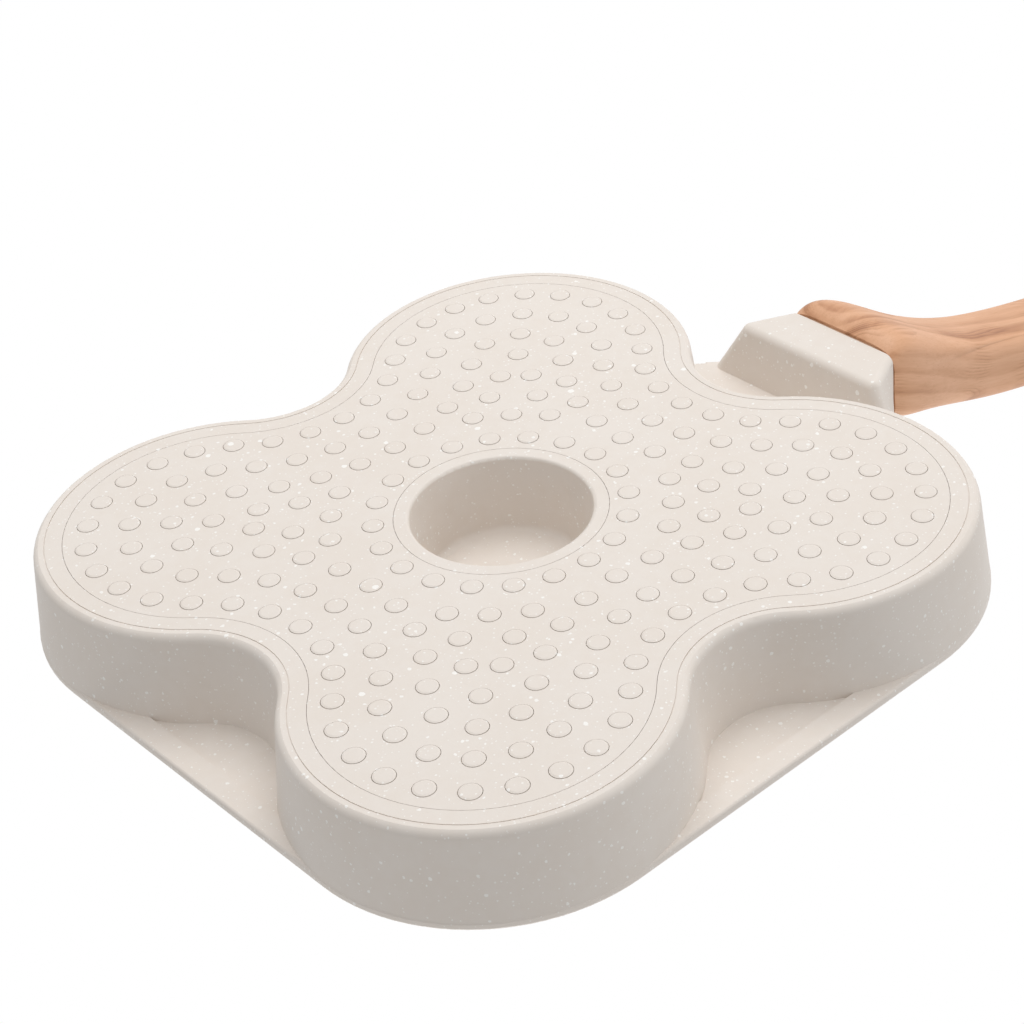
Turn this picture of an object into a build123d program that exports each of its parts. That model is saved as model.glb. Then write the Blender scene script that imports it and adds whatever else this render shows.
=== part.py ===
# A four-cup frying pan: a cast quatrefoil body with a square rim, a perforated steel base plate
# and a wood-finish handle held by one long bolt.
# Millimetres, cups up, +X along the handle, origin at the centre of the plane the pan rests on.
from build123d import *
from math import asin, copysign, cos, pi, radians, sin, sqrt, tan
import os

# Cutting and finding
cut_margin = 1.0           # how far a cutting solid runs past the face it cuts
tolerance = 0.01           # for finding faces and edges by where they lie

# Body of the pan
base_radius = 57.8         # outer radius of a cup at the base
wall_draft = 6.9           # degrees the outer and inner walls lean out
wall_thickness = 3.4
floor_thickness = 4.4
pan_height = 32.0
cup_gap = 0.7              # between the rims of neighbouring cups, where they come closest
base_rounding = 3.2
base_line_width = 0.3      # fine groove where the flat of the base ends
cup_floor_rounding = 9.0
cup_lip_rounding = 2.0

# Square rim
rim_lip = 0.2              # how far the rim stands out past the wall of a cup
flange_thickness = 3.0
flange_band = 8.0          # width of the thick band along the rim's edge
flange_relief = 1.2        # how much thinner the flange is inside that band
rim_rounding = 0.9

# Recess under the middle
recess_radius = 28.5
recess_floor_radius = 25.2
recess_depth = 25.8
recess_mouth_rounding = 1.2
recess_floor_rounding = 2.5

# Steel base plate and the pips that stand through it
plate_inset = 9.0          # outer skin to the edge of the plate
plate_hole_radius = 33.4   # hole in the middle of the plate
plate_thickness = 0.8
plate_gap = 0.15           # clearance at the plate's edge
pip_radius = 3.3
pip_proud = 0.3
pip_gap = 0.2              # clearance between the plate and each pip
pip_edge_width = 0.6       # sloped edge of each pip
pip_edge_drop = 0.2
pip_edge_margin = 7.1      # plate edge to the outer row of pips
pip_heart_reach = 2.1      # cup centre to the pip just beyond it
pip_row_steps = (8, 7, 6)  # steps in an eighth of each full row, from cup to notch
pip_inner_row_share = 0.83 # third row to the short row inside it, as a share of the rows' pitch
pip_inner_row_start = 19.4 # degrees from the notch to the first pip of the short row
pip_inner_row_angle = 8.9
pip_inner_row_count = 3
pip_ring_share = 0.34      # ring of pips: how far out from the plate's hole to the third row
pip_ring_count = 20
pip_axis_distance = 52.8   # pan centre to the single pip on each cup's axis

# Boss that carries the handle
boss_reach = 30.2          # rim side to the face that the handle seats on
boss_rear_half_width = 23.4
boss_side_angle = 45.0     # degrees the apron narrows towards the handle
boss_foot = 8.7            # rim side to the foot of the boss
boss_front_lean = 3.9
boss_front_half_width = 31.0
boss_bottom = 9.5          # height of the boss's underside above the resting plane
boss_rise = 4.0            # boss above the pan's top face
boss_top_inset = 12.0
boss_top_lean = 1.0
boss_rounding = 3.0
apron_rounding = 10.0
apron_rounding_share = 0.9 # most of the straight rim beside the apron that its rounding may take

# Handle
handle_length = 160.0
joint_gap = 0.8            # thickness of the gasket in the joint
gasket_inset = 0.4
tail_flat_radius = 7.4     # flat end that the hanging loop seats on
tail_rounding = 8.0
tongue_width = 29.0
tongue_height = 15.0
tongue_length = 8.0
tongue_middle = 23.5       # height of the tongue's middle
tongue_clearance = 0.3
tongue_rounding = 3.0
bolt_entry_height = 27.0   # height at which the bolt's axis crosses the joint
bolt_rise = 16.5           # degrees the bolt's axis rises along the handle
section_points = 16        # even steps along each half of a section
handle_steps = 12          # even spaces between the sections that the grip is lofted through
# Cross-sections of the handle: share of its length, half width at the crease, widest half width,
# the heights of the underside, the crease, the widest place and the top, then how square it is,
# 2 being an ellipse
handle_sections = (
    (0.000, 23.4, 23.6, 8.6, 20.5, 26.0, 36.5, 5.0),
    (0.045, 24.0, 24.4, 5.8, 21.0, 28.0, 40.0, 4.2),
    (0.115, 22.8, 23.2, 10.8, 23.8, 32.0, 45.5, 3.2),
    (0.200, 19.6, 20.3, 20.0, 28.8, 38.0, 52.0, 2.7),
    (0.300, 15.8, 17.9, 29.3, 34.3, 44.5, 58.7, 2.6),
    (0.410, 13.0, 16.5, 37.6, 39.8, 50.2, 65.3, 2.6),
    (0.560, 12.2, 16.8, 45.7, 46.7, 57.0, 71.5, 2.6),
    (0.780, 12.8, 17.4, 54.8, 55.9, 65.5, 78.5, 2.6),
    (1.030, 10.5, 14.5, 62.5, 63.6, 72.5, 83.5, 2.6),
)

# Fasteners
bolt_radius = 3.0
bolt_length = 80.0
bolt_head_radius = 5.0
bolt_head_height = 6.0
bolt_tip_chamfer = 0.6
bolt_head_rounding = 0.5
bolt_key_width = 5.0
bolt_key_depth = 3.5
bolt_clearance = 0.3
head_bore_radius = 5.6
flat_washer_radius = 5.3
flat_washer_thickness = 1.2
spring_washer_radius = 5.0
spring_washer_thickness = 1.4
spring_washer_slit = 0.8
insert_radius = 4.6
insert_length = 8.0
insert_clearance = 0.02
thread_clearance = 0.05
bolt_end_gap = 1.0         # tip of the bolt to the closed end of its hole

# Hanging loop in the tail of the handle
loop_shank_length = 12.0
loop_shank_clearance = 0.05
loop_collar_radius = 7.2
loop_collar_thickness = 1.6
loop_collar_rounding = 0.5
loop_hole_radius = 5.0
loop_rim_width = 3.2
loop_thickness = 4.0
loop_neck = 2.4            # collar to the near edge of the hole

# Heights and reaches that follow from the sizes above
draft_slope = tan(radians(wall_draft))
flange_bottom = pan_height - flange_thickness
rim_radius = base_radius + draft_slope * flange_bottom + rim_lip
axis_reach = rim_radius + cup_gap / 2
cup_offset = axis_reach * sqrt(2)
rim_reach = axis_reach + rim_radius
notch_reach = cup_offset * sqrt(2)
land_height = pip_proud
plate_top = land_height + plate_thickness
floor_height = plate_top + floor_thickness
joint_reach = rim_reach + boss_reach
plate_radius = base_radius - plate_inset
pip_row_pitch = (plate_radius - pip_edge_margin - pip_heart_reach) / len(pip_row_steps)
cup_angles = [45 + 90 * i for i in range(4)]
pocket_depth = tongue_length - joint_gap + tongue_clearance
handle_start = joint_reach + joint_gap
bolt_axis = Plane(origin=(joint_reach, 0, bolt_entry_height), x_dir=(0, 1, 0),
                  z_dir=(cos(radians(bolt_rise)), 0, sin(radians(bolt_rise))))
insert_mouth = -(pocket_depth + insert_radius * sin(radians(bolt_rise))) / cos(radians(bolt_rise))
insert_end = insert_mouth - insert_length
bolt_tip = insert_end + bolt_end_gap
bolt_head_seat = bolt_tip + bolt_length
washer_seat = bolt_head_seat - spring_washer_thickness - flat_washer_thickness
tail_reach = (joint_gap + handle_length) / cos(radians(bolt_rise))


def polar(distance, angle):
    """The point at this distance from the pan's centre, at this angle in degrees."""
    return Vector(distance * cos(radians(angle)), distance * sin(radians(angle)))


def quatrefoil(radius):
    """Face of four half circles about the cup centres, joined by arcs about the notch centres."""
    notch_radius = cup_offset - radius
    edges = []
    for angle in cup_angles:
        edges.append(CenterArc(polar(cup_offset, angle), radius, angle - 90, 180))
        edges.append(CenterArc(polar(notch_reach, angle + 45), notch_radius, angle + 180, 90))
    return make_face(edges)


def upright(face, height, low):
    """Extrude a face drawn at height 0 upwards from the height low."""
    return Pos(0, 0, low) * extrude(face, height)


def holed(outer, circles):
    """The face outer with round holes: circles holds a centre and a radius for each."""
    holes = [Wire(Edge.make_circle(radius, Plane(origin=(x, y, 0)))) for x, y, radius in circles]
    return Face(outer.face().outer_wire(), holes)


def row_point(row_radius, run):
    """Point on a row of pips at a run of arc length from the cup's axis, for the cup on +X."""
    lobe_run = row_radius * pi / 2
    if run <= lobe_run:
        angle = run / row_radius
        return cup_offset + row_radius * cos(angle), row_radius * sin(angle)
    notch_radius = cup_offset - row_radius
    angle = pi / 2 - (run - lobe_run) / notch_radius
    return cup_offset - notch_radius * cos(angle), cup_offset - notch_radius * sin(angle)


def pip_places():
    """Centres of all the pips: full rows, the short row, each cup's axis, and the ring."""
    wedge = [(pip_axis_distance, 0.0)]
    row_radius = plate_radius - pip_edge_margin
    for steps in pip_row_steps:
        notch_radius = cup_offset - row_radius
        run = row_radius * pi / 2 + notch_radius * pi / 4
        wedge += [row_point(row_radius, run * i / steps) for i in range(steps + 1)]
        row_radius -= pip_row_pitch
    wedge.append((cup_offset + pip_heart_reach, 0.0))
    last_radius = row_radius + pip_row_pitch
    inner_radius = cup_offset - last_radius + pip_inner_row_share * pip_row_pitch
    for i in range(pip_inner_row_count):
        angle = radians(45 + pip_inner_row_start + pip_inner_row_angle * i)
        wedge.append((cup_offset - inner_radius * cos(angle), cup_offset - inner_radius * sin(angle)))
    places = set()
    for x, y in wedge:
        for px, py in ((x, y), (x, -y)):
            for turn in cup_angles:
                c, s = cos(radians(turn)), sin(radians(turn))
                places.add((round(px * c - py * s, 4), round(px * s + py * c, 4)))
    last_reach = notch_reach - (cup_offset - last_radius)
    ring_radius = plate_hole_radius + pip_ring_share * (last_reach - plate_hole_radius)
    for i in range(pip_ring_count):
        spot = polar(ring_radius, 360 / pip_ring_count * i)
        places.add((round(spot.X, 4), round(spot.Y, 4)))
    return sorted(places)


def drafted_tub(radius):
    """The outer skin of the base: a quatrefoil that widens with the draft, its foot rounded."""
    skin = extrude(quatrefoil(radius), flange_bottom + flange_thickness / 2, taper=-wall_draft)
    foot = skin.faces().sort_by(Axis.Z)[0]
    return fillet(foot.edges(), base_rounding)


def rim_plan():
    """Plan of the flange: a rounded square and the apron that narrows out to the handle."""
    square = RectangleRounded(2 * rim_reach, 2 * rim_reach, rim_radius)
    wide = boss_rear_half_width + boss_reach * tan(radians(boss_side_angle))
    apron = make_face(Polyline(
        (axis_reach, -wide), (rim_reach, -wide), (joint_reach, -boss_rear_half_width),
        (joint_reach, boss_rear_half_width), (rim_reach, wide), (axis_reach, wide), close=True))
    plan = square + apron
    inner = [v for v in plan.vertices() if abs(v.X - rim_reach) < tolerance and abs(abs(v.Y) - wide) < tolerance]
    room = (axis_reach - wide) / tan(radians(boss_side_angle / 2))
    return fillet(inner, min(apron_rounding, apron_rounding_share * room))


def trapezoid(front, front_half, rear_half, height):
    """Upright face from front to the joint, narrowing to rear_half, at this height."""
    corners = [(front, -front_half), (joint_reach, -rear_half), (joint_reach, rear_half), (front, front_half)]
    return Pos(0, 0, height) * make_face(Polyline(*corners, close=True))


def before_joint(solid):
    """Edges of the solid that don't lie in the face that the handle seats on."""
    return [e for e in solid.edges() if e.center().X < joint_reach - tolerance]


def boss():
    """The block under and over the apron that the handle seats on."""
    foot = rim_reach + boss_foot
    foot_half = boss_rear_half_width + (boss_reach - boss_foot) * tan(radians(boss_side_angle))
    below = loft([
        trapezoid(foot + boss_front_lean, boss_front_half_width, boss_rear_half_width, boss_bottom),
        trapezoid(foot, foot_half, boss_rear_half_width, flange_bottom)], ruled=True)
    soft = [e for e in before_joint(below) if e.center().Z < flange_bottom - tolerance]
    below = fillet(soft, boss_rounding)
    top_half = foot_half - boss_top_inset
    top_rear_half = boss_rear_half_width - boss_top_lean
    boss_top = pan_height + boss_rise
    above = loft([
        trapezoid(foot - boss_foot / 2, foot_half, boss_rear_half_width, pan_height - rim_rounding),
        trapezoid(foot + boss_top_inset / 2, top_half, top_rear_half, boss_top)], ruled=True)
    crest = [e for e in before_joint(above) if e.center().Z > boss_top - tolerance]
    above = fillet(crest, boss_rise / 2)
    middle = extrude(trapezoid(foot, foot_half, boss_rear_half_width, flange_bottom), flange_thickness)
    return below + middle + above


def revolved(profile):
    """Solid of revolution about the vertical axis from a profile drawn as (radius, height)."""
    return revolve(Plane.XZ * profile, Axis.Z)


def rounded_profile(points, roundings):
    """Closed profile through the points; roundings maps a point's number to its fillet radius."""
    profile = make_face(Polyline(*points, close=True))
    for number, radius in roundings.items():
        spot = Vector(*points[number])
        corner = profile.vertices().sort_by_distance(spot)[0]
        profile = fillet(corner, radius)
    return profile


def cup_hollow():
    """Inside of one cup about the vertical axis: drafted wall, round floor edge, rolled lip."""
    floor_radius = base_radius - wall_thickness + draft_slope * floor_height
    mouth_radius = base_radius - wall_thickness + draft_slope * pan_height
    beyond = mouth_radius + 2 * cup_lip_rounding
    above = pan_height + cup_lip_rounding
    points = [(0, floor_height), (floor_radius, floor_height), (mouth_radius, pan_height),
              (beyond, pan_height), (beyond, above), (0, above)]
    return revolved(rounded_profile(points, {1: cup_floor_rounding, 2: cup_lip_rounding}))


def recess_hollow():
    """The round hollow under the middle, its mouth rounded over."""
    beyond = recess_radius + 2 * recess_mouth_rounding
    below = land_height - recess_mouth_rounding
    top = land_height + recess_depth
    points = [(0, below), (beyond, below), (beyond, land_height), (recess_radius, land_height),
              (recess_floor_radius, top), (0, top)]
    return revolved(rounded_profile(points, {3: recess_mouth_rounding, 4: recess_floor_rounding}))


def flange():
    """Rim and apron, thinner inside the band in each notch, with rounded edges."""
    slab = upright(rim_plan(), flange_thickness, flange_bottom)
    middle = flange_bottom + flange_thickness / 2
    edges = [e for e in before_joint(slab) if abs(e.center().Z - middle) > flange_thickness / 4]
    slab = fillet(edges, rim_rounding)
    inner = 2 * (rim_reach - flange_band)
    relief = upright(RectangleRounded(inner, inner, rim_radius - flange_band), flange_relief, flange_bottom)
    return slab - fillet(relief.faces().sort_by(Axis.Z)[-1].edges(), flange_relief / 2)


def on_bolt(radius, start, end):
    """Round bar on the bolt's axis between two distances from the joint."""
    bar = Cylinder(radius, end - start, align=(Align.CENTER, Align.CENTER, Align.MIN))
    return bolt_axis * Pos(0, 0, start) * bar


def tongue(clearance):
    """The handle's tongue, or the pocket for it when there is clearance."""
    tip = joint_reach - pocket_depth if clearance else handle_start - tongue_length
    width = tongue_width + 2 * clearance
    height = tongue_height + 2 * clearance
    section = RectangleRounded(width, height, tongue_rounding + clearance)
    plane = Plane(origin=(tip, 0, tongue_middle), x_dir=(0, 1, 0), z_dir=(1, 0, 0))
    return extrude(plane * section, handle_start + cut_margin - tip)


def round_pips():
    """Cutter that clears the base down to the land and leaves the pips, their edges sloped."""
    top = land_height + cut_margin
    slab = Box(4 * rim_reach, 4 * rim_reach, top, align=(Align.CENTER, Align.CENTER, Align.MAX))
    profile = Polyline(
        (0, 0), (pip_radius - pip_edge_width, 0), (pip_radius, pip_edge_drop), (pip_radius, top), (0, top),
        close=True)
    pip = revolved(make_face(profile))
    return Pos(0, 0, land_height) * slab - [Pos(x, y, 0) * pip for x, y in pip_places()]


def base_line():
    """The fine groove that follows the base where its flat ends."""
    outer = base_radius - base_rounding
    ring = upright(quatrefoil(outer), base_line_width, land_height)
    return ring - upright(quatrefoil(outer - base_line_width), base_line_width, land_height)


def pan_body():
    """The casting: drafted base, rim, boss, four cups, the middle recess and the pips."""
    body = drafted_tub(base_radius) + flange() + boss()
    for angle in cup_angles:
        spot = polar(cup_offset, angle)
        body -= Pos(spot.X, spot.Y, 0) * cup_hollow()
    body -= recess_hollow()
    body -= round_pips()
    body -= base_line()
    pips = [(x, y, pip_radius) for x, y in pip_places()]
    middle_land = [(0, 0, plate_hole_radius - plate_gap)]
    seat = holed(quatrefoil(plate_radius + plate_gap), pips + middle_land)
    body -= upright(seat, plate_thickness, land_height)
    body -= tongue(tongue_clearance)
    body -= on_bolt(insert_radius + insert_clearance, insert_end, 0)
    return body


def induction_plate():
    """Steel plate set flush in the base, with a hole for every pip."""
    holes = [(x, y, pip_radius + pip_gap) for x, y in pip_places()]
    holes.append((0, 0, plate_hole_radius))
    return upright(holed(quatrefoil(plate_radius), holes), plate_thickness, land_height)


def handle_section(share, crease_half, wide_half, bottom, crease, wide, top, power):
    """Upright cross-section of the handle: a crown below the crease and a rounded body above it."""
    reach = handle_start + share * handle_length
    below = []
    for i in range(section_points + 1):
        turn = pi * i / section_points
        out, drop = abs(cos(turn)) ** (2 / power), abs(sin(turn)) ** (2 / power)
        below.append((reach, -copysign(crease_half * out, cos(turn)), crease - (crease - bottom) * drop))
    lean = (1 - (crease_half / wide_half) ** power) ** (1 / power)
    start = -asin(lean ** (power / 2))
    above = []
    for i in range(section_points + 1):
        turn = start + (pi - 2 * start) * i / section_points
        out, rise = abs(cos(turn)) ** (2 / power), abs(sin(turn)) ** (2 / power)
        height = top - wide if sin(turn) > 0 else (wide - crease) / lean
        above.append((reach, copysign(wide_half * out, cos(turn)), wide + copysign(height * rise, sin(turn))))
    above[0], above[-1] = below[-1], below[0]
    return Face(Wire([Spline(*below), Spline(*above)]))


def handle_values(share):
    """Sizes of the section at this share of the length, on a smooth curve through the given ones."""
    shares = [row[0] for row in handle_sections]
    last = len(shares) - 1
    i = max(j for j in range(last) if shares[j] <= share or j == 0)
    span = shares[i + 1] - shares[i]
    t = (share - shares[i]) / span
    values = [share]
    for column in range(1, len(handle_sections[0])):
        sizes = [row[column] for row in handle_sections]
        slopes = []
        for j in (i, i + 1):
            before, after = max(j - 1, 0), min(j + 1, last)
            slopes.append((sizes[after] - sizes[before]) / (shares[after] - shares[before]) * span)
        rise = t * t * (3 - 2 * t)
        bend = t * (1 - t) * ((1 - t) * slopes[0] - t * slopes[1])
        values.append(sizes[i] + (sizes[i + 1] - sizes[i]) * rise + bend)
    return values


def tail_envelope():
    """Round envelope about the bolt's axis that ends the grip in a flat with a rounded shoulder."""
    shoulder = tail_flat_radius + tail_rounding
    waist = tail_reach - tail_rounding
    flat = Line((0, tail_reach), (tail_flat_radius, tail_reach))
    curve = CenterArc((tail_flat_radius, waist), tail_rounding, 0, 90)
    rest = Polyline(
        (shoulder, waist), (handle_length, waist - handle_length / 2), (handle_length, -handle_length),
        (0, -handle_length), (0, tail_reach))
    return bolt_axis * revolved(make_face([flat, curve, rest]))


def handle():
    """The grip: a loft from the joint to the tail, its tongue, and the bores for the bolt."""
    end = handle_sections[-1][0]
    grip = loft([handle_section(*handle_values(end * i / handle_steps)) for i in range(handle_steps + 1)])
    grip = grip & tail_envelope()
    grip += tongue(0)
    grip -= on_bolt(bolt_radius + bolt_clearance, insert_mouth, washer_seat)
    return grip - on_bolt(head_bore_radius, washer_seat, tail_reach + cut_margin)


def joint_gasket():
    """Thin gasket between the boss and the handle, set in from the surface."""
    _, half, _, bottom, _, _, top, _ = handle_sections[0]
    low, high = max(bottom, boss_bottom) + gasket_inset, min(top, pan_height + boss_rise) - gasket_inset
    plane = Plane(origin=(joint_reach, 0, (low + high) / 2), x_dir=(0, 1, 0), z_dir=(1, 0, 0))
    width = 2 * (min(half, boss_rear_half_width - boss_top_lean) - gasket_inset)
    sheet = RectangleRounded(width, high - low, boss_rounding)
    return extrude(plane * sheet, joint_gap) - tongue(tongue_clearance)


def threaded_insert():
    """Steel insert in the boss that the bolt screws into."""
    sleeve = on_bolt(insert_radius, insert_end, insert_mouth)
    return sleeve - on_bolt(bolt_radius + thread_clearance, insert_end, insert_mouth)


def handle_bolt():
    """Long socket-head bolt from deep in the handle's bore to the insert."""
    shank = on_bolt(bolt_radius, bolt_tip, bolt_head_seat)
    shank = chamfer(shank.edges().sort_by(Axis.X)[0], bolt_tip_chamfer)
    head_end = bolt_head_seat + bolt_head_height
    head = on_bolt(bolt_head_radius, bolt_head_seat, head_end)
    head = fillet(head.edges().sort_by(Axis.X)[-1], bolt_head_rounding)
    key = RegularPolygon(bolt_key_width / 2, 6, major_radius=False)
    key_plane = bolt_axis.offset(head_end - bolt_key_depth)
    return shank + head - extrude(key_plane * key, bolt_key_depth + cut_margin)


def flat_washer():
    """Plain washer on the seat inside the handle."""
    end = washer_seat + flat_washer_thickness
    disc = on_bolt(flat_washer_radius, washer_seat, end)
    return disc - on_bolt(bolt_radius + bolt_clearance, washer_seat, end)


def spring_washer():
    """Split washer between the plain washer and the bolt's head."""
    start = washer_seat + flat_washer_thickness
    ring = on_bolt(spring_washer_radius, start, bolt_head_seat)
    ring -= on_bolt(bolt_radius + bolt_clearance, start, bolt_head_seat)
    slit = Box(2 * spring_washer_radius, spring_washer_slit, 4 * spring_washer_thickness)
    return ring - bolt_axis * Pos(spring_washer_radius, 0, bolt_head_seat) * slit


def hanging_loop():
    """Steel loop whose shank fits the end of the handle's bore."""
    collar_end = tail_reach + loop_collar_thickness
    shank = on_bolt(head_bore_radius - loop_shank_clearance, tail_reach - loop_shank_length, tail_reach)
    collar = on_bolt(loop_collar_radius, tail_reach, collar_end)
    collar = fillet(collar.edges().sort_by(Axis.X)[-1], loop_collar_rounding)
    eye_radius = loop_hole_radius + loop_rim_width
    eye_middle = collar_end + loop_neck + loop_hole_radius
    middle = bolt_axis.from_local_coords((0, 0, eye_middle))
    flat = Plane(origin=middle, x_dir=bolt_axis.z_dir, z_dir=bolt_axis.x_dir.cross(bolt_axis.z_dir))
    neck_run = eye_middle - collar_end
    plan = Circle(eye_radius) + Pos(-neck_run / 2, 0) * Rectangle(neck_run, 2 * loop_hole_radius)
    plan -= Circle(loop_hole_radius)
    eye = extrude(flat * plan, loop_thickness / 2, both=True)
    return shank + collar + eye


parts = {
    "pan_body": pan_body(),
    "induction_plate": induction_plate(),
    "handle": handle(),
    "joint_gasket": joint_gasket(),
    "threaded_insert": threaded_insert(),
    "handle_bolt": handle_bolt(),
    "flat_washer": flat_washer(),
    "spring_washer": spring_washer(),
    "hanging_loop": hanging_loop(),
}

os.makedirs("parts", exist_ok=True)
for name, shape in parts.items():
    export_step(shape, f"parts/{name}.step")
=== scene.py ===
"""The looks of a four-cup frying pan, and the studio round it.

The pan has a speckled coat, a wooden handle, a silicone seal and steel pieces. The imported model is
the fixed frame, in metres: the cups open along +Z, the handle runs along +X, and the pan rests on
z = 0.
"""

import math

import bpy
import numpy as np
from bpy.props import FloatProperty, FloatVectorProperty, PointerProperty
from mathutils import Matrix, Vector


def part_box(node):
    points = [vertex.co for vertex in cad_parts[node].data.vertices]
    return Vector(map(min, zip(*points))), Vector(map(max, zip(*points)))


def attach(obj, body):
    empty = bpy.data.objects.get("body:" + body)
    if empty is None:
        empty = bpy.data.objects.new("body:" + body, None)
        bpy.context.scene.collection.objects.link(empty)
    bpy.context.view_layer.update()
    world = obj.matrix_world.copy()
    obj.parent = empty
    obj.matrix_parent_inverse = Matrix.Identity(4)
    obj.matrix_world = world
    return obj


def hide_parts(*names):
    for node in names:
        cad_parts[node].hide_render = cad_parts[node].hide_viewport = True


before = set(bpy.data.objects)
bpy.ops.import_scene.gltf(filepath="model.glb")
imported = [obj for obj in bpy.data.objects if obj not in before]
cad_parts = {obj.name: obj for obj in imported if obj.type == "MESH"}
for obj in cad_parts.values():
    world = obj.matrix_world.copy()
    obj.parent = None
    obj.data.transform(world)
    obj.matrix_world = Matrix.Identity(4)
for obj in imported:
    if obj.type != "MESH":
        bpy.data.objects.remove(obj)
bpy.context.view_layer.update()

bl_info = {
    "name": "Four-cup frying pan",
    "version": (1, 0, 0),
    "blender": (4, 5, 0),
    "location": "3D View > Sidebar > Frying pan",
    "description": "Finishes a four-cup frying pan and sets it up in a plain studio",
    "category": "Object",
}

# The model's nodes, by what they are made of.
COAT_NODES = ("pan_body", "induction_plate")
WOOD_NODES = ("handle",)
STEEL_NODES = (
    "hanging_loop", "handle_bolt", "threaded_insert", "flat_washer", "spring_washer")


def linear(red, green, blue):
    """A colour picked on a screen, each part from 0 to 255, as the linear colour of a shader.

    Each part goes through the sRGB curve: a straight line near black, and a power above it.
    """
    shares = (red / 255, green / 255, blue / 255)
    return tuple(c / 12.92 if c <= 0.04045 else ((c + 0.055) / 1.055) ** 2.4 for c in shares)


# Shader building

# The Mix node's sockets for colours, by number, because those for numbers have the same names.
MIX_FIRST = 6
MIX_SECOND = 7
MIX_RESULT = 2


class Value:
    """A number that changes over a surface. Sums, products and comparisons add Math nodes."""

    def __init__(self, look, socket):
        self.look = look
        self.socket = socket

    def beside(self, output):
        """Another output of the node that this comes from."""
        return Value(self.look, self.socket.node.outputs[output])

    def math(self, operation, *numbers):
        return self.look.add("ShaderNodeMath", {"operation": operation}, dict(enumerate(numbers)))

    def __add__(self, other):
        return self.math("ADD", self, other)

    def __radd__(self, other):
        return self.math("ADD", other, self)

    def __sub__(self, other):
        return self.math("SUBTRACT", self, other)

    def __rsub__(self, other):
        return self.math("SUBTRACT", other, self)

    def __mul__(self, other):
        return self.math("MULTIPLY", self, other)

    def __rmul__(self, other):
        return self.math("MULTIPLY", other, self)

    def __truediv__(self, other):
        return self.math("DIVIDE", self, other)

    def __pow__(self, other):
        return self.math("POWER", self, other)

    def __mod__(self, other):
        return self.math("FLOORED_MODULO", self, other)

    def __or__(self, other):
        return self.math("MAXIMUM", self, other)

    def __gt__(self, other):
        return self.math("GREATER_THAN", self, other)

    def between(self, low, high):
        """0 where this is under low, 1 where it is over high, and a smooth rise between."""
        sockets = {"Value": self, "From Min": low, "From Max": high}
        return self.look.add("ShaderNodeMapRange", {"interpolation_type": "SMOOTHSTEP"}, sockets)


class Look:
    """A material or world under construction: its node tree and the ways to add to it."""

    def __init__(self, owner):
        self.owner = owner
        owner.use_nodes = True
        self.tree = owner.node_tree
        self.tree.nodes.clear()

    def add(self, kind, settings, sockets, output=0):
        """A node of that kind, and the value of one of its outputs.

        Its settings are made first. Then each socket gets a number, a colour or another value.
        """
        node = self.tree.nodes.new(kind)
        for name, setting in settings.items():
            if name == "stops":
                fill_ramp(node.color_ramp, setting)
            else:
                setattr(node, name, setting)
        for key, given in sockets.items():
            target = node.inputs[key]
            if isinstance(given, Value):
                self.tree.links.new(given.socket, target)
            else:
                target.default_value = given
        return Value(self, node.outputs[output]) if node.outputs else None

    def place(self, stretch=(1, 1, 1), shift=(0, 0, 0)):
        """The object's own coordinates in metres, stretched and then moved by shift."""
        at = self.add("ShaderNodeTexCoord", {}, {}, "Object")
        sockets = {"Vector": at, "Location": shift, "Scale": stretch}
        return self.add("ShaderNodeMapping", {}, sockets)

    def axes(self, vector):
        """The three numbers of a vector."""
        x = self.add("ShaderNodeSeparateXYZ", {}, {0: vector})
        return x, x.beside("Y"), x.beside("Z")

    def vector(self, x, y, z):
        return self.add("ShaderNodeCombineXYZ", {}, {0: x, 1: y, 2: z})

    def vector_math(self, operation, sockets, output=0):
        return self.add("ShaderNodeVectorMath", {"operation": operation}, sockets, output)

    def noise(self, at, grain, detail, roughness=0.5, output=0):
        """Soft noise from 0 to 1 whose lumps are grain metres across."""
        sockets = {"Vector": at, "Scale": 1 / grain, "Detail": detail, "Roughness": roughness}
        return self.add("ShaderNodeTexNoise", {}, sockets, output)

    def blend(self, share, first, second):
        """A colour: first where share is 0, second where it is 1."""
        settings = {"data_type": "RGBA", "clamp_factor": True}
        sockets = {"Factor": share, MIX_FIRST: first, MIX_SECOND: second}
        return self.add("ShaderNodeMix", settings, sockets, MIX_RESULT)

    def mix(self, share, first, second):
        """A surface or light: first where share is 0, second where it is 1."""
        return self.add("ShaderNodeMixShader", {}, {0: share, 1: first, 2: second})

    def bump(self, height, depth, strength):
        """The surface's direction, tilted as if a height of 1 stood depth metres proud."""
        sockets = {"Strength": strength, "Distance": depth, "Height": height}
        return self.add("ShaderNodeBump", {}, sockets)

    def shader(self, **sockets):
        """Puts the surface's own shader on the output and gives the finished material."""
        named = {name.replace("_", " "): given for name, given in sockets.items()}
        surface = self.add("ShaderNodeBsdfPrincipled", {}, named)
        self.add("ShaderNodeOutputMaterial", {}, {"Surface": surface})
        return self.owner


def fill_ramp(ramp, stops):
    """Gives a colour ramp these (position, colour) stops."""
    while len(ramp.elements) < len(stops):
        ramp.elements.new(1.0)
    for element, (position, colour) in zip(ramp.elements, stops):
        element.position = position
        element.color = (*colour, 1)


def rgba(colour):
    """A colour with full cover, as sockets take it."""
    return (*colour[:3], 1)


# The speckled coat

# The layers of chips, from large to small: the width of a cell in metres, the largest radius in
# that layer as a share of the setting, and how strongly its chips show.
CHIP_LAYERS = ((0.0085, 1.0, 1.0), (0.0030, 0.6, 0.9), (0.0014, 0.35, 0.7))
# The share of cells with no chip, and the smallest chip's radius as a share of the largest one's.
EMPTY_CELLS = 0.45
SMALLEST_CHIP = 0.25
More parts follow.
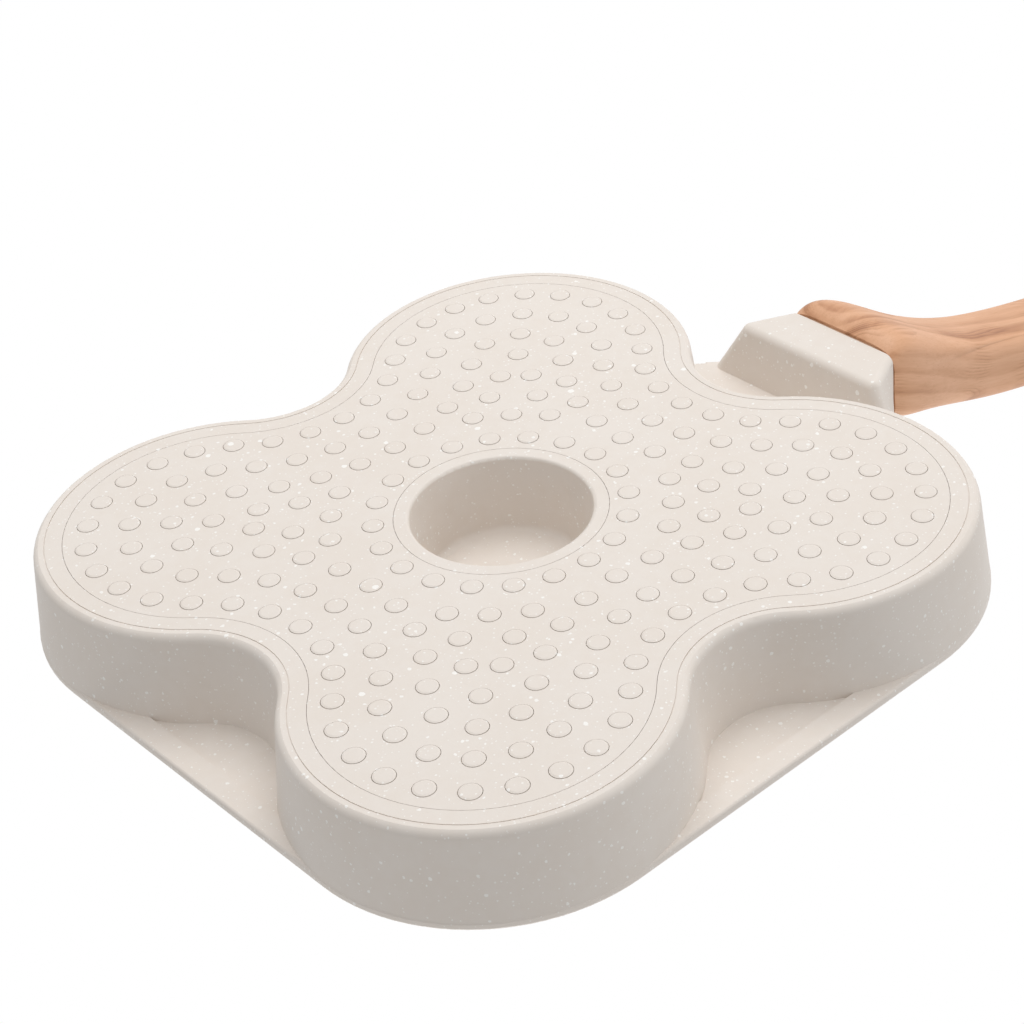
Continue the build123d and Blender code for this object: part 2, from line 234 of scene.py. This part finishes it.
# How far a chip's edge fades to either side, in metres.
CHIP_EDGE = 0.00005


def warped(look, at, grain, reach):
    """Coordinates pushed about by noise, so that shapes drawn on them get a ragged outline.

    The noise has lumps of grain metres and pushes by at most reach metres.
    """
    push = look.noise(at, grain, detail=1.0, output="Color")
    centred = look.vector_math("SUBTRACT", {0: push, 1: (0.5, 0.5, 0.5)})
    scaled = look.vector_math("SCALE", {0: centred, "Scale": 2 * reach})
    return look.vector_math("ADD", {0: at, 1: scaled})


def flecks(look, at, cell, radius):
    """Chips of paint: cells of space hold a ball each, which shows where the surface cuts it.

    A ball's radius grows with the square of a chance number, up to radius, and some cells stay
    empty. The mask is 1 inside a ball and falls smoothly to 0 over its edge.
    """
    sockets = {"Vector": at, "Scale": 1 / cell, "Randomness": 1.0}
    distance = look.add("ShaderNodeTexVoronoi", {}, sockets, "Distance")
    chance = look.add("ShaderNodeSeparateColor", {}, {0: distance.beside("Color")})
    share = chance * chance * (1 - SMALLEST_CHIP) + SMALLEST_CHIP
    size = share * (chance > EMPTY_CELLS) * (radius / cell)
    return (size - distance).between(-CHIP_EDGE / cell, CHIP_EDGE / cell)


def stone_coat(name, coat):
    """The speckled coat: warm off-white paint with white chips of several sizes in it.

    It is faintly clouded and sandy to the touch. All but the finest chips are ragged.
    """
    look = Look(bpy.data.materials.new(name))
    at = look.place()
    # The chips. Where layers overlap, the strongest shows.
    ragged = warped(look, at, grain=0.0011, reach=0.0004)
    large, small, dust = (
        flecks(look, where, cell, coat.fleck_radius * share) * strength
        for where, (cell, share, strength) in zip((ragged, ragged, at), CHIP_LAYERS))
    chips = large | small | dust
    # The paint under them, clouded by two sizes of noise.
    cloud = look.noise(at, grain=0.035, detail=3.0)
    mottle = look.noise(at, grain=0.0042, detail=2.0)
    tone = (cloud * 0.6 + mottle * 0.4).between(0.38, 0.62)
    paint = look.blend(tone, rgba(coat.shade), rgba(coat.colour))
    colour = look.blend(chips * coat.fleck_strength, paint, rgba(coat.fleck_colour))
    # The skin: fine sand on soft waves, duller where the paint is mottled and glossier on chips.
    sand = look.noise(at, grain=0.0007, detail=3.0, roughness=0.6)
    orange_peel = look.noise(at, grain=0.0035, detail=1.0)
    bump = look.bump(sand * 0.35 + orange_peel * 0.5, depth=0.00009, strength=0.5)
    roughness = 0.46 + mottle * 0.12 - chips * 0.08
    return look.shader(
        Base_Color=colour, Roughness=roughness, Normal=bump, Specular_IOR_Level=0.3)


# The handle's wood

# Where the wood starts along X, in metres.
WOOD_START = 0.15437
# The middle line of the handle, from there: its height, its slope, and the bend, which times the
# distance squared is how far the line falls below that slope.
LINE_HEIGHT = 0.0225
LINE_SLOPE = 0.50
LINE_BEND = 1.18
# The pith that the growth rings lie round: how far it is beside and below the middle line where
# the wood starts, and by how much that grows for each metre along the handle.
PITH_BESIDE = 0.010
PITH_BESIDE_DRIFT = 0.05
PITH_BELOW = 0.034
PITH_BELOW_DRIFT = -0.10
# How far the rings wander and ripple, in metres, and how many fine lines go into one ring.
RING_WANDER = 0.022
RING_RIPPLE = 0.0012
FINE_LINES = 6


def wood(name, oak):
    """Satin oak: wide growth rings, fine lines in some places, darker veins, fibres and pores.

    A point's ring is its distance from the pith, pushed about by soft noise, over the ring
    spacing. The pith lies beside the handle and bends with it. The tone that all of it adds up
    to picks a colour between the palest wood, at 0, and the veins, at 1.
    """
    look = Look(bpy.data.materials.new(name))
    # Along the handle, across it, and above its middle line.
    x, y, z = look.axes(look.place(shift=(-WOOD_START, 0, 0)))
    lift = z - (LINE_HEIGHT + x * LINE_SLOPE - x * x * LINE_BEND)

    def figure(along, grain, detail, roughness=0.5, across=1.0):
        """Noise drawn out along the handle: along is under 1, and the less, the longer."""
        at = look.vector(x * along, y * across, lift)
        return look.noise(at, grain, detail, roughness)

    # How many rings lie between a point and the pith, and how far it is through its own ring.
    wander = figure(0.30, grain=0.024, detail=1.5) - 0.5
    ripple = figure(0.30, grain=0.005, detail=2.0) - 0.5
    beside = y + PITH_BESIDE + x * PITH_BESIDE_DRIFT
    below = lift + PITH_BELOW + x * PITH_BELOW_DRIFT
    from_pith = (beside * beside + below * below) ** 0.5
    turns = (from_pith + wander * RING_WANDER + ripple * RING_RIPPLE) / oak.ring
    ring = turns % 1.0
    # Late wood darkens slowly through a ring and ends more sharply. Fine lines show in patches.
    late = ring.between(0.15, 0.80) * (1 - ring.between(0.82, 1.0))
    fine = (turns * FINE_LINES % 1.0).between(0.30, 0.95)
    patch = figure(0.6, grain=0.014, detail=1.0).between(0.50, 0.66)
    # Veins, fibres and pores are long and thin, from wide to fine.
    vein = figure(0.10, grain=0.011, detail=3.0, across=1.2).between(0.42, 0.66)
    fibre = figure(0.05, grain=0.0008, detail=3.0, roughness=0.65)
    pore = figure(0.06, grain=0.0004, detail=1.0).between(0.62, 0.74)
    # The share of each in the tone.
    rings = late * (0.20 + vein * 0.26)
    tone = rings + fine * patch * 0.30 + (fibre - 0.5) * 0.34 + vein * 0.22 + 0.06
    stops = [(0.0, oak.light), (0.30, oak.middle), (0.66, oak.dark), (1.0, oak.vein)]
    colour = look.add("ShaderNodeValToRGB", {"stops": stops}, {"Fac": tone})
    colour = look.blend(pore * 0.14, colour, rgba(oak.vein))
    bump = look.bump(fibre * 0.5 - pore * 0.5, depth=0.00010, strength=0.35)
    roughness = 0.42 + fibre * 0.16 + pore * 0.1
    return look.shader(
        Base_Color=colour, Roughness=roughness, Normal=bump, Specular_IOR_Level=0.4)


# The finishes of the small pieces


def seal(name, colour):
    """Matte silicone with a dry, faintly mottled skin."""
    look = Look(bpy.data.materials.new(name))
    skin = look.noise(look.place(), grain=0.0008, detail=2.0)
    lighter = tuple(c * 1.6 for c in colour[:3])
    mixed = look.blend(skin * 0.6, rgba(colour), rgba(lighter))
    bump = look.bump(skin, depth=0.00005, strength=0.4)
    return look.shader(Base_Color=mixed, Roughness=0.62 + skin * 0.15, Normal=bump)


def brushed_steel(name, colour):
    """Stainless steel brushed along X: fine scratches in its colour, gloss and height."""
    look = Look(bpy.data.materials.new(name))
    brushed = look.place(stretch=(0.06, 1, 1))
    scratch = look.noise(brushed, grain=0.00022, detail=2.0, roughness=0.6)
    smudge = look.noise(look.place(), grain=0.006, detail=2.0)
    darker = tuple(c * 0.82 for c in colour[:3])
    mixed = look.blend(scratch * 0.6 + smudge * 0.3, rgba(darker), rgba(colour))
    bump = look.bump(scratch, depth=0.00002, strength=0.35)
    roughness = 0.24 + scratch * 0.14 + smudge * 0.06
    return look.shader(Base_Color=mixed, Metallic=1.0, Roughness=roughness, Normal=bump)


def paint_nodes(names, material):
    """Gives these nodes of the model one material, in place of the plain one they came with."""
    for node in names:
        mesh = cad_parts[node].data
        mesh.materials.clear()
        mesh.materials.append(material)


# The seal

# The hole for the handle's tongue, in metres: its half width, its half height and the height of
# its middle.
TONGUE_HALF_WIDTH = 0.0150
TONGUE_HALF_HEIGHT = 0.0080
TONGUE_MIDDLE = 0.0235
# How square the seal's outlines are, where 2 is an oval, and how many points go round them.
SEAL_POWER = 7
SEAL_STEPS = 160


def seal_mesh(small):
    """The flat ring that fills the joint, a profile of six corners carried round an outline.

    Both its outlines are squarish ovals, |y / half width| ** power + |z / half height| ** power
    = 1: a point at an angle has the cosine and sine of it, each to the power 2 / power with its
    sign kept, times the half width and half height. The outer outline stands a little past the
    plain gasket, with softened edges, and the inner one clears the handle's tongue.
    """
    (start, _, low), (end, side, high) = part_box("joint_gasket")
    wide, tall = side + small.seal_side, (high - low) / 2 + small.seal_end
    middle, soft = (low + high) / 2, small.seal_softness
    # Each corner of the profile: its X, then its outline's half width, half height and middle.
    profile = np.array([
        (start, wide - soft, tall - soft, middle),
        (start + soft, wide, tall, middle),
        (end - soft, wide, tall, middle),
        (end, wide - soft, tall - soft, middle),
        (end, TONGUE_HALF_WIDTH, TONGUE_HALF_HEIGHT, TONGUE_MIDDLE),
        (start, TONGUE_HALF_WIDTH, TONGUE_HALF_HEIGHT, TONGUE_MIDDLE),
    ])
    turn = np.arange(SEAL_STEPS) * 2 * math.pi / SEAL_STEPS
    circle = np.stack([np.cos(turn), np.sin(turn)])
    across, up = np.sign(circle) * np.abs(circle) ** (2 / SEAL_POWER)
    x, half_width, half_height, centre = profile.T[:, :, None]
    points = np.broadcast_arrays(x, across * half_width, centre + up * half_height)
    corners = len(profile)
    corner, step = np.divmod(np.arange(corners * SEAL_STEPS), SEAL_STEPS)
    here, there = corner * SEAL_STEPS, (corner + 1) % corners * SEAL_STEPS
    after = (step + 1) % SEAL_STEPS
    quads = np.stack([here + step, here + after, there + after, there + step], axis=1)
    mesh = bpy.data.meshes.new("joint_seal")
    mesh.from_pydata(np.stack(points, axis=-1).reshape(-1, 3).tolist(), [], quads.tolist())
    return mesh


# The studio

# Where the picture was taken from, looking up at the base of the pan: the camera's place in
# metres, the directions of right and down in the picture, its lens and sensor in millimetres, and
# its sideways shift as a share of the picture's width.
CAMERA_PLACE = (-0.38414, 0.49973, -0.44022)
CAMERA_RIGHT = (0.73471170, 0.67359633, 0.08041576)
CAMERA_DOWN = (-0.43886449, 0.38156295, 0.81351563)
CAMERA_LENS = 88.19
CAMERA_SENSOR = 36
CAMERA_SHIFT = -0.0498
CAMERA_NEAREST = 0.01
# The soft boxes: name, place and side in metres, and power in watts.
LAMPS = (
    ("lamp_under", (0.35, -0.25, -1.30), 1.0, 11.0),
    ("lamp_over", (-0.15, 0.10, 1.35), 1.0, 11.0),
    ("lamp_side", (1.10, 0.90, -0.20), 0.9, 3.5),
)
# The floor lies just under the pan, so that the two don't meet, and is a disc of rings and spokes.
FLOOR_HEIGHT = -0.0002
FLOOR_RINGS = 24
FLOOR_SPOKES = 96
# The share of the floor's tone that shadows can darken under the pan, and the distances from the
# middle, in metres, between which that share goes down to nothing.
FLOOR_MATTE = 0.5
FLOOR_FADE = (0.5, 1.8)
WHITE = (1, 1, 1, 1)


def floor_mesh(reach):
    """A flat disc facing up, whose rings lie closer together near its middle.

    A point's radius grows with the square of its ring's number, up to reach, and it is turned
    round the middle by its spoke's share of a full turn.
    """
    radius = (np.arange(1, FLOOR_RINGS + 1) / FLOOR_RINGS) ** 2 * reach
    turn = np.arange(FLOOR_SPOKES) * 2 * math.pi / FLOOR_SPOKES
    height = np.full((FLOOR_RINGS, FLOOR_SPOKES), FLOOR_HEIGHT)
    around = np.stack(
        [np.outer(radius, np.cos(turn)), np.outer(radius, np.sin(turn)), height], axis=-1)
    points = np.vstack([[(0.0, 0.0, FLOOR_HEIGHT)], around.reshape(-1, 3)])
    inner = 1 + np.arange((FLOOR_RINGS - 1) * FLOOR_SPOKES)
    step = np.where(inner % FLOOR_SPOKES == 0, 1 - FLOOR_SPOKES, 1)
    outer = inner + FLOOR_SPOKES
    quads = np.stack([inner, outer, outer + step, inner + step], axis=1)
    hub = 1 + np.arange(FLOOR_SPOKES)
    fan = np.stack([np.zeros(FLOOR_SPOKES, int), hub, 1 + hub % FLOOR_SPOKES], axis=1)
    mesh = bpy.data.meshes.new("studio_floor")
    mesh.from_pydata(points.tolist(), [], quads.tolist() + fan.tolist())
    return mesh


def floor_look(shade):
    """A pale floor that keeps shadows near the pan and glows evenly further out.

    From underneath it isn't there, so that a view from below sees the base of the pan.
    """
    look = Look(bpy.data.materials.new("studio_floor"))
    glow = look.add("ShaderNodeEmission", {}, {"Color": rgba(shade), "Strength": 1.0})
    matte = look.add("ShaderNodeBsdfDiffuse", {}, {"Color": rgba(shade)})
    distance = look.vector_math("LENGTH", {0: look.place()}, "Value")
    above = look.mix(FLOOR_MATTE * (1 - distance.between(*FLOOR_FADE)), glow, matte)
    clear = look.add("ShaderNodeBsdfTransparent", {}, {})
    underneath = look.add("ShaderNodeNewGeometry", {}, {}, "Backfacing")
    surface = look.mix(underneath, above, clear)
    look.add("ShaderNodeOutputMaterial", {}, {"Surface": surface})
    return look.owner


def studio_world(ambient):
    """White for the camera and in reflections; on the pan itself only the ambient light."""
    look = Look(bpy.data.worlds.new("studio"))
    seen = look.add("ShaderNodeBackground", {}, {"Color": WHITE, "Strength": 1.0})
    light = look.add("ShaderNodeBackground", {}, {"Color": WHITE, "Strength": ambient})
    camera_ray = look.add("ShaderNodeLightPath", {}, {}, "Is Camera Ray")
    glossy_ray = camera_ray.beside("Is Glossy Ray")
    direct = camera_ray | glossy_ray | camera_ray.beside("Is Transmission Ray")
    look.add("ShaderNodeOutputWorld", {}, {"Surface": look.mix(direct, light, seen)})
    bpy.context.scene.world = look.owner


def lamp(name, place, size, power):
    """A square soft box that shines at the middle of the pan."""
    data = bpy.data.lights.new(name, "AREA")
    data.shape = "SQUARE"
    data.size = size
    data.energy = power
    box = bpy.data.objects.new(name, data)
    box.location = place
    box.rotation_euler = (-Vector(place)).to_track_quat("-Z", "Y").to_euler()
    bpy.context.scene.collection.objects.link(box)


def camera():
    """The camera of the picture, from its measured place and directions."""
    data = bpy.data.cameras.new("camera")
    data.lens = CAMERA_LENS
    data.sensor_width = CAMERA_SENSOR
    data.shift_x = CAMERA_SHIFT
    data.clip_start = CAMERA_NEAREST
    right, up = Vector(CAMERA_RIGHT).normalized(), -Vector(CAMERA_DOWN).normalized()
    turn = Matrix((right, up, right.cross(up))).transposed().to_4x4()
    eye = bpy.data.objects.new("camera", data)
    eye.matrix_world = Matrix.Translation(CAMERA_PLACE) @ turn
    bpy.context.scene.collection.objects.link(eye)
    bpy.context.scene.camera = eye


# What a user can change


class CoatSettings(bpy.types.PropertyGroup):
    colour: FloatVectorProperty(
        name="Coat colour", description="Colour of the paint between the flecks",
        subtype="COLOR", min=0, max=1, default=linear(231, 223, 215))
    shade: FloatVectorProperty(
        name="Clouding", description="The slightly deeper tone that clouds the paint",
        subtype="COLOR", min=0, max=1, default=linear(229, 220, 211))
    fleck_colour: FloatVectorProperty(
        name="Fleck colour", description="Colour of the chips in the paint",
        subtype="COLOR", min=0, max=1, default=linear(249, 247, 243))
    fleck_radius: FloatProperty(
        name="Fleck radius", description="Radius of the largest chips",
        unit="LENGTH", min=0.0002, max=0.003, default=0.0010)
    fleck_strength: FloatProperty(
        name="Fleck strength", description="How far the chips cover the paint",
        subtype="FACTOR", min=0, max=1, default=0.9)


class WoodSettings(bpy.types.PropertyGroup):
    light: FloatVectorProperty(
        name="Early wood", description="Palest wood between the rings",
        subtype="COLOR", min=0, max=1, default=linear(226, 176, 140))
    middle: FloatVectorProperty(
        name="Wood", description="The wood's main tone",
        subtype="COLOR", min=0, max=1, default=linear(212, 160, 123))
    dark: FloatVectorProperty(
        name="Late wood", description="The darker line that ends each ring",
        subtype="COLOR", min=0, max=1, default=linear(190, 137, 101))
    vein: FloatVectorProperty(
        name="Veins", description="Darkest streaks and pores",
        subtype="COLOR", min=0, max=1, default=linear(162, 110, 77))
    ring: FloatProperty(
        name="Ring spacing", description="Distance from one growth ring to the next",
        unit="LENGTH", min=0.001, max=0.02, default=0.0072)


class SmallPartSettings(bpy.types.PropertyGroup):
    # The seal's tone, a little darker than the wood, is partly painted shade: besides the silicone's
    # own colour it stands for the thin shade line in the joint between boss and handle.
    seal_colour_and_joint_shade: FloatVectorProperty(
        name="Seal", description="Colour of the seal between boss and handle",
        subtype="COLOR", min=0, max=1, default=linear(172, 142, 118))
    seal_side: FloatProperty(
        name="Seal at the sides", description="How far it stands past the gasket at each side",
        unit="LENGTH", min=0, max=0.0013, default=0.0010)
    seal_end: FloatProperty(
        name="Seal above and below", description="How far it stands past it above and below",
        unit="LENGTH", min=0, max=0.0004, default=0.0003)
    seal_softness: FloatProperty(
        name="Seal softness", description="Width of its softened edges",
        unit="LENGTH", min=0.00005, max=0.0003, default=0.00015)
    steel_colour: FloatVectorProperty(
        name="Steel", description="Colour of the bolt, its washers and the hanging loop",
        subtype="COLOR", min=0, max=1, default=linear(178, 176, 172))


class StudioSettings(bpy.types.PropertyGroup):
    floor_colour: FloatVectorProperty(
        name="Floor", description="Colour of the floor",
        subtype="COLOR", min=0, max=1, default=(0.96, 0.96, 0.96))
    floor_reach: FloatProperty(
        name="Floor reach", description="Radius of the round floor",
        unit="LENGTH", min=0.5, max=20, default=6.0)
    ambient: FloatProperty(
        name="Ambient light", description="Strength of the light that comes from all round",
        min=0, max=2, default=0.52)
    lamps: FloatProperty(
        name="Lamps", description="Strength of all lamps together", min=0, max=5, default=1.0)


SETTINGS = {
    "pan_coat": CoatSettings,
    "pan_wood": WoodSettings,
    "pan_small_parts": SmallPartSettings,
    "pan_studio": StudioSettings,
}


# The steps


class COAT_OT_pan(bpy.types.Operator):
    """Give the pan body and the plate in its base the speckled coat"""

    bl_idname = "frying_pan.coat"
    bl_label = "Coat the pan"

    def execute(self, context):
        paint_nodes(COAT_NODES, stone_coat("speckled_coat", context.scene.pan_coat))
        return {"FINISHED"}


class FINISH_OT_handle(bpy.types.Operator):
    """Give the handle its wood"""

    bl_idname = "frying_pan.handle"
    bl_label = "Finish the handle"

    def execute(self, context):
        paint_nodes(WOOD_NODES, wood("satin_oak", context.scene.pan_wood))
        return {"FINISHED"}


class FINISH_OT_seal(bpy.types.Operator):
    """Fill the joint between boss and handle with its silicone seal"""

    bl_idname = "frying_pan.seal"
    bl_label = "Fit the seal"

    def execute(self, context):
        small = context.scene.pan_small_parts
        mesh = seal_mesh(small)
        # The seal's colour is partly painted shade: it stands for the thin shade line in the joint
        # as well as for the silicone.
        mesh.materials.append(seal("silicone", small.seal_colour_and_joint_shade))
        piece = bpy.data.objects.new("joint_seal", mesh)
        context.scene.collection.objects.link(piece)
        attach(piece, "root")
        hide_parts("joint_gasket")
        return {"FINISHED"}


class FINISH_OT_steel(bpy.types.Operator):
    """Give the bolt, its washers and insert, and the hanging loop their brushed steel"""

    bl_idname = "frying_pan.steel"
    bl_label = "Finish the steel"

    def execute(self, context):
        colour = context.scene.pan_small_parts.steel_colour
        paint_nodes(STEEL_NODES, brushed_steel("brushed_steel", colour))
        return {"FINISHED"}


class SET_OT_studio(bpy.types.Operator):
    """Set up the floor, the lamps, the world and the camera"""

    bl_idname = "frying_pan.studio"
    bl_label = "Set up the studio"

    def execute(self, context):
        studio = context.scene.pan_studio
        mesh = floor_mesh(studio.floor_reach)
        mesh.materials.append(floor_look(studio.floor_colour))
        floor = bpy.data.objects.new("studio_floor", mesh)
        context.scene.collection.objects.link(floor)
        floor.visible_shadow = floor.visible_diffuse = False
        floor.visible_glossy = floor.visible_transmission = False
        studio_world(studio.ambient)
        for name, place, size, power in LAMPS:
            lamp(name, place, size, power * studio.lamps)
        camera()
        context.scene.view_settings.view_transform = "Standard"
        return {"FINISHED"}


STEPS = (COAT_OT_pan, FINISH_OT_handle, FINISH_OT_seal, FINISH_OT_steel, SET_OT_studio)


class PAN_PT_steps(bpy.types.Panel):
    """The steps and what they use"""

    bl_label = "Frying pan"
    bl_idname = "PAN_PT_steps"
    bl_space_type = "VIEW_3D"
    bl_region_type = "UI"
    bl_category = "Frying pan"

    def draw(self, context):
        for name, group in SETTINGS.items():
            box = self.layout.box()
            for field in group.__annotations__:
                box.prop(getattr(context.scene, name), field)
        for step in STEPS:
            self.layout.operator(step.bl_idname)


def register():
    for name, group in SETTINGS.items():
        bpy.utils.register_class(group)
        setattr(bpy.types.Scene, name, PointerProperty(type=group))
    for step in (*STEPS, PAN_PT_steps):
        bpy.utils.register_class(step)


def unregister():
    for step in reversed((*STEPS, PAN_PT_steps)):
        bpy.utils.unregister_class(step)
    for name, group in reversed(SETTINGS.items()):
        delattr(bpy.types.Scene, name)
        bpy.utils.unregister_class(group)


def main():
    register()
    for step in STEPS:
        group, name = step.bl_idname.split(".")
        getattr(getattr(bpy.ops, group), name)()


if __name__ == "__main__":
    main()
